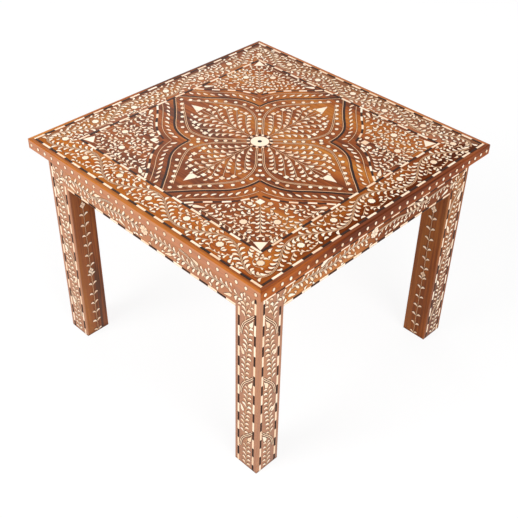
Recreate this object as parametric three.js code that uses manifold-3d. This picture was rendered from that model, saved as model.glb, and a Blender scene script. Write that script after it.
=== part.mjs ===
// A square low table of solid wood with inlay of bone and horn, as separate pieces.
// Millimetres, +Z up. The origin is on the floor under the middle of the top.
// The front side faces -Y, and the sides follow anticlockwise seen from above.
import * as THREE from "three";
import { mergeVertices } from "three/addons/utils/BufferGeometryUtils.js";
import Module from "manifold-3d";

const wasm = await Module();
wasm.setup();

// Overall sizes
const top_side = 600;
const table_height = 460;
const top_thickness = 21;
const top_overhang = 22;
const arris_radius = 1.5;

// Legs and aprons
const leg_width = 54;
const apron_height = 67;
const apron_thickness = 20;
const tenon_length = 32;
const tenon_thickness = 8;
const tenon_shoulder = 10;
const mortise_spare = 2;

// Boards of the top
const field_board_count = 3;
const tongue_length = 8;
const tongue_thickness = 6;
const groove_spare = 1;
const key_length = 46;
const key_width = 24;
const key_thickness = 4;
const key_inset = 33;

// Corner blocks and battens under the top
const block_thickness = 22;
const block_height = 40;
const batten_width = 40;
const batten_thickness = 18;
const batten_block_room = 28;
const batten_end_room = 3;

// Screws: their hold is how far they reach past the piece that they fasten
const screw_radius = 2;
const screw_head_radius = 4.2;
const screw_head_depth = 3;
const screw_slot_width = 1.2;
const screw_slot_depth = 1.2;
const screw_point = 4;
const leg_screw_hold = 26;
const top_screw_hold = 13;
const top_screw_offset = 14;

// Inlay: insets are measured from the edge of the top, margins from the inner line
const inlay_depth = 3;
const line_width = 4;
const outer_line_inset = 10;
const inner_line_inset = 67.5;
const roundel_radius = 17;
const pin_radius = 4;
const petal_triangle_margin = 45.5;
const petal_triangle_length = 27;
const petal_triangle_base = 21;
const corner_triangle_margin = 1.5;
const corner_triangle_length = 21;
const corner_triangle_base = 23;

// Clearances
const fit_gap = 0.3;
const cut_overrun = 1;

// Counts of faces and turns
const arris_steps = 3;
const screw_sides = 12;
const roundel_sides = 36;
const pin_sides = 16;
const side_count = 4;
const side_turn = (2 * Math.PI) / side_count;

// Places that follow from the sizes
const leg_height = table_height - top_thickness;
const frame_half = top_side / 2 - top_overhang;
const frame_inner = frame_half - apron_thickness;
const apron_half = frame_half - leg_width;
const border_width = inner_line_inset + line_width / 2 + fit_gap;
const field_half = top_side / 2 - border_width - fit_gap;
const field_seams = (field_board_count - 1) * fit_gap;
const field_board_width = (2 * field_half - field_seams) / field_board_count;
const field_board_pitch = field_board_width + fit_gap;
const groove_depth = tongue_length + groove_spare;
const groove_thickness = tongue_thickness + 2 * fit_gap;
const top_middle = leg_height + top_thickness / 2;
const inlay_floor = table_height - inlay_depth;
const block_near = 2 * (leg_width - apron_thickness + fit_gap);
const block_far = block_near + block_thickness * Math.SQRT2;
const block_floor = leg_height - block_height;
const batten_floor = leg_height - batten_thickness;
const batten_offset = frame_inner - block_far - batten_block_room - batten_width / 2;
const inner_line_half = top_side / 2 - inner_line_inset;

// Materials
function finish(color, roughness) {
  return new THREE.MeshStandardMaterial({ color, roughness, metalness: 0 });
}
const field_wood = finish(0x9a5a2e, 0.45);
const border_wood = finish(0xa4622f, 0.45);
const leg_wood = finish(0x8a5334, 0.5);
const apron_wood = finish(0x9c6538, 0.5);
const inner_wood = finish(0x7a5232, 0.7);
const bone = finish(0xf1e6cf, 0.4);
const horn = finish(0x1c1512, 0.35);
const steel = finish(0x8d8a84, 0.4);
steel.metalness = 1;

// Solids: closed geometries become solids that can be joined and cut, and come back as geometries
function solid_of(geometry) {
  const plain = geometry.clone();
  plain.deleteAttribute("normal");
  plain.deleteAttribute("uv");
  const merged = mergeVertices(plain);
  const triangles = [];
  for (let i = 0; i < merged.index.count; i += 3) {
    const corners = [merged.index.getX(i), merged.index.getX(i + 1), merged.index.getX(i + 2)];
    if (new Set(corners).size === corners.length) triangles.push(...corners);
  }
  const mesh = new wasm.Mesh({
    numProp: 3,
    vertProperties: merged.attributes.position.array,
    triVerts: new Uint32Array(triangles),
  });
  return new wasm.Manifold(mesh);
}

function geometry_of(solid) {
  const mesh = solid.getMesh();
  const geometry = new THREE.BufferGeometry();
  geometry.setAttribute("position", new THREE.BufferAttribute(mesh.vertProperties, mesh.numProp));
  geometry.setIndex(new THREE.BufferAttribute(mesh.triVerts, 1));
  const flat = geometry.toNonIndexed();
  flat.computeVertexNormals();
  return flat;
}

function cut(geometry, cutters) {
  let solid = solid_of(geometry);
  for (const cutter of cutters) solid = solid.subtract(solid_of(cutter));
  return geometry_of(solid);
}

function join(geometries) {
  let solid = solid_of(geometries[0]);
  for (const geometry of geometries.slice(1)) solid = solid.add(solid_of(geometry));
  return geometry_of(solid);
}

// A box between two corners
function block_between(low, high) {
  const box = new THREE.BoxGeometry(high[0] - low[0], high[1] - low[1], high[2] - low[2]);
  return box.translate((low[0] + high[0]) / 2, (low[1] + high[1]) / 2, (low[2] + high[2]) / 2);
}

// An upright prism over an outline of [x, y] corners
function prism(corners, floor, height) {
  const shape = new THREE.Shape(corners.map(([x, y]) => new THREE.Vector2(x, y)));
  const geometry = new THREE.ExtrudeGeometry(shape, { depth: height, bevelEnabled: false });
  return geometry.translate(0, 0, floor);
}

// An upright round disc about the Z axis
function disc(radius, floor, height, sides) {
  const geometry = new THREE.CylinderGeometry(radius, radius, height, sides);
  return geometry.rotateX(Math.PI / 2).translate(0, 0, floor + height / 2);
}

// A convex anticlockwise outline, grown outwards by a gap all round
function grown(corners, gap) {
  return corners.map(([x, y], i) => {
    const before = corners[(i + corners.length - 1) % corners.length];
    const after = corners[(i + 1) % corners.length];
    const into = new THREE.Vector2(x - before[0], y - before[1]).normalize();
    const out = new THREE.Vector2(after[0] - x, after[1] - y).normalize();
    const stretch = gap / (1 + into.dot(out));
    return [x + (into.y + out.y) * stretch, y - (into.x + out.x) * stretch];
  });
}

// A bar along the front edge of the top, with mitred ends. Its cross-section is drawn
// as inset from the edge and height above the floor.
function mitred_bar(section) {
  const settings = { depth: top_side, bevelEnabled: false, curveSegments: arris_steps };
  const geometry = new THREE.ExtrudeGeometry(section, settings);
  const place = geometry.attributes.position;
  for (let i = 0; i < place.count; i++) {
    const inset = place.getX(i);
    const reach = top_side / 2 - inset - fit_gap / Math.SQRT2;
    const along = place.getZ(i) > 0 ? reach : -reach;
    place.setXYZ(i, along, inset - top_side / 2, place.getY(i));
  }
  return geometry;
}

// The border's section: rounded arrises, a groove for the outer line, a rebate for
// the inner line and a groove for the field's tongue.
function border_section() {
  const half_line = line_width / 2 + fit_gap;
  const groove_low = top_middle - groove_thickness / 2;
  const groove_high = top_middle + groove_thickness / 2;
  const section = new THREE.Shape();
  section.moveTo(border_width, leg_height);
  section.lineTo(border_width, groove_low);
  section.lineTo(border_width - groove_depth, groove_low);
  section.lineTo(border_width - groove_depth, groove_high);
  section.lineTo(border_width, groove_high);
  section.lineTo(border_width, inlay_floor);
  section.lineTo(inner_line_inset - half_line, inlay_floor);
  section.lineTo(inner_line_inset - half_line, table_height);
  section.lineTo(outer_line_inset + half_line, table_height);
  section.lineTo(outer_line_inset + half_line, inlay_floor);
  section.lineTo(outer_line_inset - half_line, inlay_floor);
  section.lineTo(outer_line_inset - half_line, table_height);
  section.lineTo(arris_radius, table_height);
  section.absarc(arris_radius, table_height - arris_radius, arris_radius, Math.PI / 2, Math.PI);
  section.lineTo(0, leg_height + arris_radius);
  section.absarc(arris_radius, leg_height + arris_radius, arris_radius, Math.PI, 1.5 * Math.PI);
  return section;
}

function line_section(line_inset) {
  const section = new THREE.Shape();
  section.moveTo(line_inset - line_width / 2, inlay_floor);
  section.lineTo(line_inset + line_width / 2, inlay_floor);
  section.lineTo(line_inset + line_width / 2, table_height);
  section.lineTo(line_inset - line_width / 2, table_height);
  return section;
}

// The loose key across the mitre at the front side's right end
function key_shape(gap) {
  const geometry = new THREE.BoxGeometry(
    key_length + 2 * gap,
    key_width + 2 * gap,
    key_thickness + 2 * gap,
  );
  geometry.rotateZ(side_turn / 2);
  const place = top_side / 2 - key_inset;
  return geometry.rotateZ(side_turn).translate(place, -place, top_middle);
}

// A countersunk screw that points up from its head at the origin, or the hole for it
function screw_shape(length, gap) {
  const start = gap > 0 ? -cut_overrun : 0;
  const profile = [
    new THREE.Vector2(0, start),
    new THREE.Vector2(screw_head_radius + gap, start),
    new THREE.Vector2(screw_head_radius + gap, gap),
    new THREE.Vector2(screw_radius + gap, screw_head_depth + gap),
    new THREE.Vector2(screw_radius + gap, length - screw_point + gap),
    new THREE.Vector2(0, length + gap),
  ];
  return new THREE.LatheGeometry(profile, screw_sides).rotateX(Math.PI / 2);
}

function screw(length) {
  const half_slot = screw_slot_width / 2;
  const reach = screw_head_radius + cut_overrun;
  const slot = block_between(
    [-reach, -half_slot, -cut_overrun],
    [reach, half_slot, screw_slot_depth],
  );
  return cut(screw_shape(length, 0), [slot]);
}

// Screws of the corner block: one through its middle into the leg, one up into the top
const leg_screw_length = block_thickness + leg_screw_hold;
const top_screw_length = block_height + top_screw_hold;
const batten_screw_length = batten_thickness + top_screw_hold;

function turn_to_leg(geometry) {
  const place = frame_inner - block_far / 2;
  geometry.rotateY(Math.PI / 2).rotateZ(-side_turn / 2);
  return geometry.translate(place, -place, block_floor + block_height / 2);
}

function move_under_border(geometry) {
  const across = (block_near + block_far) / 2 - top_screw_offset;
  return geometry.translate(frame_inner - across, top_screw_offset - frame_inner, block_floor);
}

// The corner block behind the leg at the front side's right end
function corner_block() {
  const corners = [
    [block_near, 0],
    [block_far, 0],
    [0, block_far],
    [0, block_near],
  ].map(([across, along]) => [frame_inner - across, along - frame_inner]);
  return cut(prism(corners, block_floor, block_height), [
    turn_to_leg(screw_shape(leg_screw_length, fit_gap)),
    move_under_border(screw_shape(top_screw_length, fit_gap)),
  ]);
}

// The tenon that runs through the front apron, or the mortises for its ends
function tenon_shape(reach, gap) {
  const middle = frame_half - apron_thickness / 2;
  const half = tenon_thickness / 2 + gap;
  return block_between(
    [-reach, -middle - half, leg_height - apron_height + tenon_shoulder - gap],
    [reach, -middle + half, leg_height - tenon_shoulder + gap],
  );
}

function apron() {
  const board = block_between(
    [-apron_half, -frame_half, leg_height - apron_height],
    [apron_half, -frame_inner, leg_height],
  );
  return join([board, tenon_shape(apron_half + tenon_length, 0)]);
}

// The leg at the front side's right end, rounded on its outer and inner arris
function leg() {
  const radius = arris_radius;
  const shape = new THREE.Shape();
  shape.moveTo(apron_half, -frame_half);
  shape.lineTo(frame_half - radius, -frame_half);
  shape.absarc(frame_half - radius, radius - frame_half, radius, -Math.PI / 2, 0);
  shape.lineTo(frame_half, -apron_half);
  shape.lineTo(apron_half + radius, -apron_half);
  shape.absarc(apron_half + radius, -apron_half - radius, radius, Math.PI / 2, Math.PI);
  const settings = { depth: leg_height, bevelEnabled: false, curveSegments: arris_steps };
  const post = new THREE.ExtrudeGeometry(shape, settings);
  const mortise_reach = apron_half + tenon_length + mortise_spare;
  return cut(post, [
    tenon_shape(mortise_reach, fit_gap),
    tenon_shape(mortise_reach, fit_gap).rotateZ(side_turn),
    turn_to_leg(screw_shape(leg_screw_length, fit_gap)),
  ]);
}

function border_board() {
  return cut(mitred_bar(border_section()), [
    key_shape(fit_gap),
    key_shape(fit_gap).rotateZ(-side_turn),
    move_under_border(screw_shape(top_screw_length, fit_gap)),
  ]);
}

// Bone triangles of the front side: one points to the petal's tip, one to the field's corner
function petal_triangle_corners() {
  const tip = inner_line_half - petal_triangle_margin;
  return [
    [petal_triangle_base / 2, petal_triangle_length - tip],
    [-petal_triangle_base / 2, petal_triangle_length - tip],
    [0, -tip],
  ];
}

function corner_triangle_corners() {
  const tip = inner_line_half - line_width / 2 - corner_triangle_margin;
  const back = tip - corner_triangle_length / Math.SQRT2;
  const aside = corner_triangle_base / 2 / Math.SQRT2;
  return [
    [tip, -tip],
    [back + aside, aside - back],
    [back - aside, -aside - back],
  ];
}

function inlay_pocket(corners) {
  return prism(grown(corners, fit_gap), inlay_floor, inlay_depth + cut_overrun);
}

// Battens stand either side of the middle, with a screw up into each field board
const batten_sides = [
  { side: "left", x: -batten_offset },
  { side: "right", x: batten_offset },
];

function board_middle(number) {
  return (number - (field_board_count - 1) / 2) * field_board_pitch;
}

const board_numbers = Array.from({ length: field_board_count }, (unused, number) => number);

function batten_screws_at(x, shape) {
  return board_numbers.map((number) => shape().translate(x, board_middle(number), batten_floor));
}

function batten_hole() {
  return screw_shape(batten_screw_length, fit_gap);
}

function batten(x) {
  const half_length = frame_inner - batten_end_room;
  const bar = block_between(
    [x - batten_width / 2, -half_length, batten_floor],
    [x + batten_width / 2, half_length, leg_height],
  );
  return cut(bar, batten_screws_at(x, batten_hole));
}

// Every pocket and hole in the field boards, which each board takes where it reaches
function field_cutters() {
  const cutters = [disc(roundel_radius + fit_gap, inlay_floor, top_thickness, roundel_sides)];
  for (let side = 0; side < side_count; side++) {
    for (const corners of [petal_triangle_corners(), corner_triangle_corners()]) {
      cutters.push(inlay_pocket(corners).rotateZ(side * side_turn));
    }
  }
  for (const { x } of batten_sides) cutters.push(...batten_screws_at(x, batten_hole));
  return cutters;
}

// A field board runs from left to right. Its front edge and its ends have a tongue, and
// its back edge has a groove, but a tongue on the last board.
function field_board(number) {
  const middle = board_middle(number);
  const front = middle - field_board_width / 2;
  const back = middle + field_board_width / 2;
  const is_last = number === field_board_count - 1;
  const half_tongue = tongue_thickness / 2;
  const half_groove = groove_thickness / 2;
  const board = join([
    block_between([-field_half, front, leg_height], [field_half, back, table_height]),
    block_between(
      [-field_half - tongue_length, front, top_middle - half_tongue],
      [field_half + tongue_length, back, top_middle + half_tongue],
    ),
    block_between(
      [-field_half, front - tongue_length, top_middle - half_tongue],
      [field_half, is_last ? back + tongue_length : back, top_middle + half_tongue],
    ),
  ]);
  const groove_reach = field_half + tongue_length + cut_overrun;
  const groove = block_between(
    [-groove_reach, back - groove_depth, top_middle - half_groove],
    [groove_reach, back + cut_overrun, top_middle + half_groove],
  );
  return cut(board, is_last ? field_cutters() : [groove, ...field_cutters()]);
}

// The scene: one named mesh for each piece
const table = new THREE.Group();

function place_piece(parent, name, geometry, material) {
  const mesh = new THREE.Mesh(geometry, material);
  mesh.name = name;
  parent.add(mesh);
}

for (const number of board_numbers) {
  place_piece(table, "field_board_" + (number + 1), field_board(number), field_wood);
}

const roundel_hole = disc(pin_radius + fit_gap, leg_height, top_thickness + cut_overrun, pin_sides);
const roundel = cut(disc(roundel_radius, inlay_floor, inlay_depth, roundel_sides), [roundel_hole]);
place_piece(table, "centre_roundel", roundel, bone);
place_piece(table, "centre_pin", disc(pin_radius, inlay_floor, inlay_depth, pin_sides), horn);

for (const { side, x } of batten_sides) {
  place_piece(table, "batten_" + side, batten(x), inner_wood);
  batten_screws_at(x, () => screw(batten_screw_length)).forEach((geometry, number) => {
    place_piece(table, "batten_screw_" + side + "_" + (number + 1), geometry, steel);
  });
}

// Each side of the table, with the corner at its right end, is the front side turned round
const side_names = ["front", "right", "back", "left"];
const corner_names = ["front_right", "back_right", "back_left", "front_left"];

side_names.forEach((side, turns) => {
  const corner = corner_names[turns];
  const group = new THREE.Group();
  group.rotation.z = turns * side_turn;
  table.add(group);
  const petal_triangle = prism(petal_triangle_corners(), inlay_floor, inlay_depth);
  const corner_triangle = prism(corner_triangle_corners(), inlay_floor, inlay_depth);
  const outer_line = mitred_bar(line_section(outer_line_inset));
  const inner_line = mitred_bar(line_section(inner_line_inset));
  place_piece(group, "border_board_" + side, border_board(), border_wood);
  place_piece(group, "outer_line_" + side, outer_line, bone);
  place_piece(group, "inner_line_" + side, inner_line, bone);
  place_piece(group, "petal_triangle_" + side, petal_triangle, bone);
  place_piece(group, "apron_" + side, apron(), apron_wood);
  place_piece(group, "leg_" + corner, leg(), leg_wood);
  place_piece(group, "corner_triangle_" + corner, corner_triangle, bone);
  place_piece(group, "mitre_key_" + corner, key_shape(0), inner_wood);
  place_piece(group, "corner_block_" + corner, corner_block(), inner_wood);
  const leg_screw = turn_to_leg(screw(leg_screw_length));
  const top_screw = move_under_border(screw(top_screw_length));
  place_piece(group, "leg_screw_" + corner, leg_screw, steel);
  place_piece(group, "top_screw_" + corner, top_screw, steel);
});

export default table;
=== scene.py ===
# %% [markdown]
# # A low table inlaid with bone
# The table is a square top on four straight legs, joined by four aprons, all of an
# orange-brown rosewood. The maker saws thousands of small chips of bone, sets them into
# the wood, fills the seams with dark lac and rubs everything flush. The wood pieces come
# from the packed frame. This script gives them their grain and lays the inlay on them.

# %% Load the frame
import math
import random

import bmesh
import bpy
from mathutils import Matrix, Vector


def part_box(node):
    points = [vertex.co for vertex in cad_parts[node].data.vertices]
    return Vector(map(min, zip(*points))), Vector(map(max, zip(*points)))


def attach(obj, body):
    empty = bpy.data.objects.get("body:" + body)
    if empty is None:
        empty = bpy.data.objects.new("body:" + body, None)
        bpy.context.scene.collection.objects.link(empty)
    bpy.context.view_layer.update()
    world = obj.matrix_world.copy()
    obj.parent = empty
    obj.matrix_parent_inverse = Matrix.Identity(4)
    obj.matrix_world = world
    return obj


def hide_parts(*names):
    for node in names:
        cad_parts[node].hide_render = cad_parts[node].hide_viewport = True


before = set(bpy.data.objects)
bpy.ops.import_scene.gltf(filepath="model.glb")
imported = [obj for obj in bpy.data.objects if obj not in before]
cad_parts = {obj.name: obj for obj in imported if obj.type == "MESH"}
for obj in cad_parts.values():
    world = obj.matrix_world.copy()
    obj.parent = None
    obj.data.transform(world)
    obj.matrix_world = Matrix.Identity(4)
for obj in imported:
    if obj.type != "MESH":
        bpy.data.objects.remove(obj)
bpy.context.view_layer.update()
MM = 0.001

# %% [markdown]
# Every place of the pattern follows from the wood that carries it, so the sizes are read
# from the frame: how far the top reaches, where its inlaid lines lie, and where the legs
# and aprons stand. All four sides are alike, so one piece of each kind is enough.

# %% Sizes from the frame
SIDES = ["front", "right", "back", "left"]
CORNERS = ["front_right", "back_right", "back_left", "front_left"]
board_low, board_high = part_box("border_board_right")
outer_low, outer_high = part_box("outer_line_front")
inner_low, inner_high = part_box("inner_line_front")
leg_low, leg_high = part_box("leg_front_right")
top_half = board_high.x
top_height = board_high.z
outer_line = -(outer_low.y + outer_high.y) / 2
inner_line = -(inner_low.y + inner_high.y) / 2
line_width = outer_high.y - outer_low.y
leg_width = leg_high.x - leg_low.x
frame_half = leg_high.x
apron_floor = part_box("apron_front")[0].z
print("top half", round(top_half, 4), "lines at", round(outer_line, 4), round(inner_line, 4))

# %% [markdown]
# Shaders and geometry are both node trees. To keep them readable, one small class wraps
# an output socket and lets sums be written on it, and another adds any other node from
# its type, its settings and its inputs.


# %% Node trees written as Python
class Wire:
    """An output socket that sums can be written on."""

    def __init__(self, graph, socket):
        self.graph = graph
        self.socket = socket

    def __add__(self, other):
        return self.graph.math("ADD", self, other)

    def __sub__(self, other):
        return self.graph.math("SUBTRACT", self, other)

    def __rsub__(self, other):
        return self.graph.math("SUBTRACT", other, self)

    def __mul__(self, other):
        return self.graph.math("MULTIPLY", self, other)

    def __truediv__(self, other):
        return self.graph.math("DIVIDE", self, other)

    __radd__ = __add__
    __rmul__ = __mul__


class Graph:
    """A shader or geometry tree under construction."""

    def __init__(self, tree):
        self.tree = tree

    def node(self, kind, settings=None, inputs=None):
        made = self.tree.nodes.new(kind)
        for name, value in (settings or {}).items():
            if name == "stops":
                self.set_stops(made.color_ramp, value)
            else:
                setattr(made, name, value)
        for name, value in (inputs or {}).items():
            if isinstance(value, Wire):
                self.tree.links.new(value.socket, made.inputs[name])
            elif value is not None:
                made.inputs[name].default_value = value
        return made

    @staticmethod
    def set_stops(ramp, stops):
        while len(ramp.elements) < len(stops):
            ramp.elements.new(1.0)
        for element, (place, color) in zip(ramp.elements, stops):
            element.position = place
            element.color = color

    def wires(self, outs, kind, settings=None, inputs=None):
        made = self.node(kind, settings, inputs)
        return [Wire(self, made.outputs[out]) for out in outs]

    def wire(self, kind, settings=None, inputs=None, out=0):
        return self.wires([out], kind, settings, inputs)[0]

    def math(self, operation, *values):
        return self.wire("ShaderNodeMath", {"operation": operation}, dict(enumerate(values)))

    def xyz(self, x=0.0, y=0.0, z=0.0):
        return self.wire("ShaderNodeCombineXYZ", {}, {0: x, 1: y, 2: z})

    def mixed(self, share, first, second, blend="MIX"):
        settings = {"data_type": "RGBA", "blend_type": blend}
        return self.wire("ShaderNodeMix", settings, {0: share, 6: first, 7: second}, out=2)

    def rising(self, value, start, end):
        """0 up to the start and 1 from the end on, with a slope between them."""
        return self.wire("ShaderNodeMapRange", {}, {0: value, 1: start, 2: end})

    def speckle(self, scale, detail=2.0):
        """Grains that stay in their place on the piece."""
        place = self.wire("ShaderNodeTexCoord", out="Object")
        return self.wire("ShaderNodeTexNoise", {}, {"Vector": place, "Scale": scale, "Detail": detail})


print("node helpers:", [name for name in vars(Graph) if not name.startswith("_")])


# %% Colours, objects and meshes
def rgb(red, green, blue):
    """A colour from its everyday 0 to 255 values, as the linear colour that shaders use."""
    linear = [
        c / 12.92 if c <= 0.04045 else ((c + 0.055) / 1.055) ** 2.4
        for c in (red / 255, green / 255, blue / 255)
    ]
    return (*linear, 1.0)


def linked(name, data):
    """A new object of the scene."""
    made = bpy.data.objects.new(name, data)
    bpy.context.scene.collection.objects.link(made)
    return made


def mesh_of(work, name):
    """Turns the faces that were built in a bmesh into a mesh."""
    mesh = bpy.data.meshes.new(name)
    work.to_mesh(mesh)
    work.free()
    return mesh


print("mid grey is", round(rgb(128, 128, 128)[0], 3), "for a shader")

# %% [markdown]
# The camera stands a little to the right of the near corner and looks down on the table.
# Its place was found by fitting the corners of the top and the feet in the photograph,
# so it is given as a real distance and as angles.

# %% Camera
CAMERA_PLACE = (0.9916, -1.0185, 1.3216)
CAMERA_YAW = 44.11
CAMERA_PITCH = 38.68
CAMERA_ROLL = 1.21
FOCAL_PIXELS = 899.2
IMAGE_PIXELS = 518
SENSOR_WIDTH = 36


def camera_axes(yaw, pitch, roll):
    """The camera's right, up and backward directions."""
    yaw, pitch, roll = (math.radians(a) for a in (yaw, pitch, roll))
    level = math.cos(pitch)
    forward = Vector((-math.sin(yaw) * level, math.cos(yaw) * level, -math.sin(pitch)))
    right = Vector((math.cos(yaw), math.sin(yaw), 0))
    up = right.cross(forward)
    turned_right = right * math.cos(roll) + up * math.sin(roll)
    turned_up = up * math.cos(roll) - right * math.sin(roll)
    return turned_right, turned_up, -forward


def add_camera():
    data = bpy.data.cameras.new("camera")
    data.sensor_width = SENSOR_WIDTH
    data.lens = FOCAL_PIXELS / IMAGE_PIXELS * SENSOR_WIDTH
    camera = linked("camera", data)
    axes = Matrix(camera_axes(CAMERA_YAW, CAMERA_PITCH, CAMERA_ROLL)).transposed()
    camera.matrix_world = Matrix.Translation(CAMERA_PLACE) @ axes.to_4x4()
    bpy.context.scene.camera = camera
    return data.lens


print("camera lens", round(add_camera(), 1), "mm")

# %% [markdown]
# Rosewood is streaky: golden and reddish bands next to dark purple-brown ones, fine lines
# along the grain and short dark pores. Each board gets its own material, so that its
# streaks differ from its neighbour's and run along its own length. The grain is noise that
# is stretched along one axis of the Object coordinates.

# %% Streaks, lines and pores of rosewood
GOLDEN = rgb(192, 120, 46)
ORANGE = rgb(166, 88, 34)
REDDISH = rgb(132, 64, 26)
PURPLE = rgb(74, 38, 24)
# How fine each is along and across the grain, then its detail and its waviness.
STREAKS = (1.6, 17, 4, 0.4)
FINE_LINES = (9, 260, 3, 0.0)
PORES = (55, 1100, 2, 0.0)
PORE_LIMIT = 0.64
PORE_SHARE = 0.35


def stretched_noise(graph, place, along, across, detail, waviness):
    stretch = {"Vector": place, "Scale": (along, across, across)}
    place = graph.wire("ShaderNodeMapping", {}, stretch)
    inputs = {"Vector": place, "Scale": 1.0, "Detail": detail, "Distortion": waviness}
    return graph.wire("ShaderNodeTexNoise", {}, inputs)


def streaked(graph, place, lightness, darkness):
    """The colour of plain rosewood, and its streaks, fine lines and pores."""
    streaks = stretched_noise(graph, place, *STREAKS)
    fine = stretched_noise(graph, place, *FINE_LINES)
    pores = graph.math("GREATER_THAN", stretched_noise(graph, place, *PORES), PORE_LIMIT) * PORE_SHARE
    bands = [
        (0.28, PURPLE),
        (0.28 + darkness * 0.4, REDDISH),
        (0.36 + darkness * 0.5, ORANGE),
        (0.74, GOLDEN),
    ]
    tone = streaks + (fine - 0.5) * 0.35
    color = graph.wire("ShaderNodeValToRGB", {"stops": bands}, {"Fac": tone})
    lines = graph.math("MULTIPLY_ADD", fine, 0.5, 0.73 * lightness)
    shade = graph.wire("ShaderNodeCombineColor", {}, {0: lines, 1: lines, 2: lines})
    color = graph.mixed(1.0, color, shade, "MULTIPLY")
    return graph.mixed(pores, color, PURPLE), streaks, fine, pores


print("pores are", PORES[1] // PORES[0], "times as long as wide")

# %% Rosewood for one board
# The sapwood colour, which also stands for a painted sheen on the faces that the lamps strike strongest.
SAPWOOD_AND_SHEEN = rgb(203, 157, 131)
HEARTWOOD = rgb(182, 148, 70)
HEART_BLUR = 0.03
HEART_WANDER = 0.3
# Painted sheen: how much paler the sides of the top are, and how deep the paler painted sheen reaches into
# the outer faces of the legs.
EDGE_SHEEN = 0.4
OUTER_SHEEN_DEPTH = 2 * MM
# Up to this height the feet darken towards the floor, as painted floor shade and wear.
FOOT_SHADE_HEIGHT = 7 * MM
GRAIN_TURN = {"x": (0, 0, 0), "y": (0, 0, math.pi / 2), "z": (0, math.pi / 2, 0)}


def new_material(name):
    material = bpy.data.materials.new(name)
    material.use_nodes = True
    material.node_tree.nodes.clear()
    return material, Graph(material.node_tree)


def surface(graph, inputs, bump, bump_distance=0.1 * MM):
    """Ends a material in one Principled shader with a slight relief."""
    relief = {"Height": bump, "Strength": 0.5, "Distance": bump_distance}
    inputs = {**inputs, "Normal": graph.wire("ShaderNodeBump", {}, relief)}
    shader = graph.wire("ShaderNodeBsdfPrincipled", {}, inputs)
    graph.node("ShaderNodeOutputMaterial", {}, {"Surface": shader})


def rosewood(
    name, grain, seed, lightness=1.0, darkness=0.3, dull=0.0, sapwood=0.0, sheen_below=0.0,
    heart=None, bleached=0.0, foot_shade_and_wear=0.0,
):
    """A rosewood whose grain runs along one axis. The seed picks the part of the tree. Heart
    gives the two places on its y axis between which the board is dark heartwood, and how dark
    that is. A painted sheen makes the outer faces of the frame and the sides of the top paler,
    where the lamps strike them stronger, and the feet darken as painted floor shade and wear."""
    material, graph = new_material(name)
    place = graph.wire("ShaderNodeTexCoord", out="Object")
    across, run, height = graph.wires((0, 1, 2), "ShaderNodeSeparateXYZ", {}, {0: place})
    picked = random.Random(seed)
    shift = tuple(picked.uniform(-9, 9) for axis in range(3))
    turned = {"Vector": place, "Rotation": GRAIN_TURN[grain], "Location": shift}
    place = graph.wire("ShaderNodeMapping", {}, turned)
    color, streaks, fine, pores = streaked(graph, place, lightness, darkness)
    # The sapwood share is the wood's own colour. On top of it, the sides of the top below the rim and the
    # outer faces of the legs are made paler as a painted sheen.
    sapwood_and_sheen = graph.math("LESS_THAN", height, sheen_below) * EDGE_SHEEN + sapwood
    reach = graph.math("MAXIMUM", graph.math("ABSOLUTE", across), graph.math("ABSOLUTE", run))
    sapwood_and_sheen = sapwood_and_sheen + graph.math("GREATER_THAN", reach, frame_half - OUTER_SHEEN_DEPTH) * bleached
    color = graph.mixed(sapwood_and_sheen, color, SAPWOOD_AND_SHEEN)
    if heart is not None:
        first, last, depth = heart
        edge = run + (streaks - 0.5) * HEART_WANDER
        past = graph.rising(edge, first - HEART_BLUR, first + HEART_BLUR)
        before = graph.rising(edge, last + HEART_BLUR, last - HEART_BLUR)
        color = graph.mixed(past * before * depth, color, HEARTWOOD, "MULTIPLY")
    # Painted floor shade and wear: the feet darken towards the floor.
    if foot_shade_and_wear:
        low = graph.rising(height, FOOT_SHADE_HEIGHT, 0.0)
        color = graph.mixed(low * low * foot_shade_and_wear, color, PURPLE)
    roughness = 0.4 + dull + pores * 0.5 + (streaks - 0.5) * 0.2
    inputs = {"Base Color": color, "Roughness": roughness, "Specular IOR Level": 0.06}
    surface(graph, inputs, bump=fine * 0.3 - pores)
    return material


print("grain directions:", list(GRAIN_TURN))

# %% [markdown]
# The frame's wooden pieces have sharp edges. On the real table they are rubbed soft with
# the finish, and the feet are worn round. So a copy of each border board, apron and leg is
# merged into whole faces, its long outer edges are bevelled, and it stands for the
# frame's piece.

# %% Soft edges on the wooden pieces
FOOT_RADIUS = 2 * MM
FOOT_SEGMENTS = 3
EDGE_RADIUS = 0.7 * MM
EDGE_SEGMENTS = 2
NEAR = 2 * MM
SMOOTH_ANGLE = math.radians(40)
FLAT_ANGLE = math.radians(1)
SAME_PLACE = 0.001 * MM
BEVEL = {"offset_type": "OFFSET", "profile": 0.5, "affect": "EDGES", "clamp_overlap": True}


def long_outer_edges(mesh, low, high, shortest):
    """The long convex edges that lie on the piece's own box."""

    def on_box(vert):
        gaps = [min(abs(vert.co[i] - low[i]), abs(vert.co[i] - high[i])) for i in range(3)]
        return sum(gap < NEAR for gap in gaps) >= 2

    return [
        edge
        for edge in mesh.edges
        if edge.calc_length() > shortest
        and edge.is_convex
        and edge.calc_face_angle(0) > SMOOTH_ANGLE
        and all(on_box(vert) for vert in edge.verts)
    ]


def dress(mesh, material):
    mesh.materials.clear()
    mesh.materials.append(material)


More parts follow.
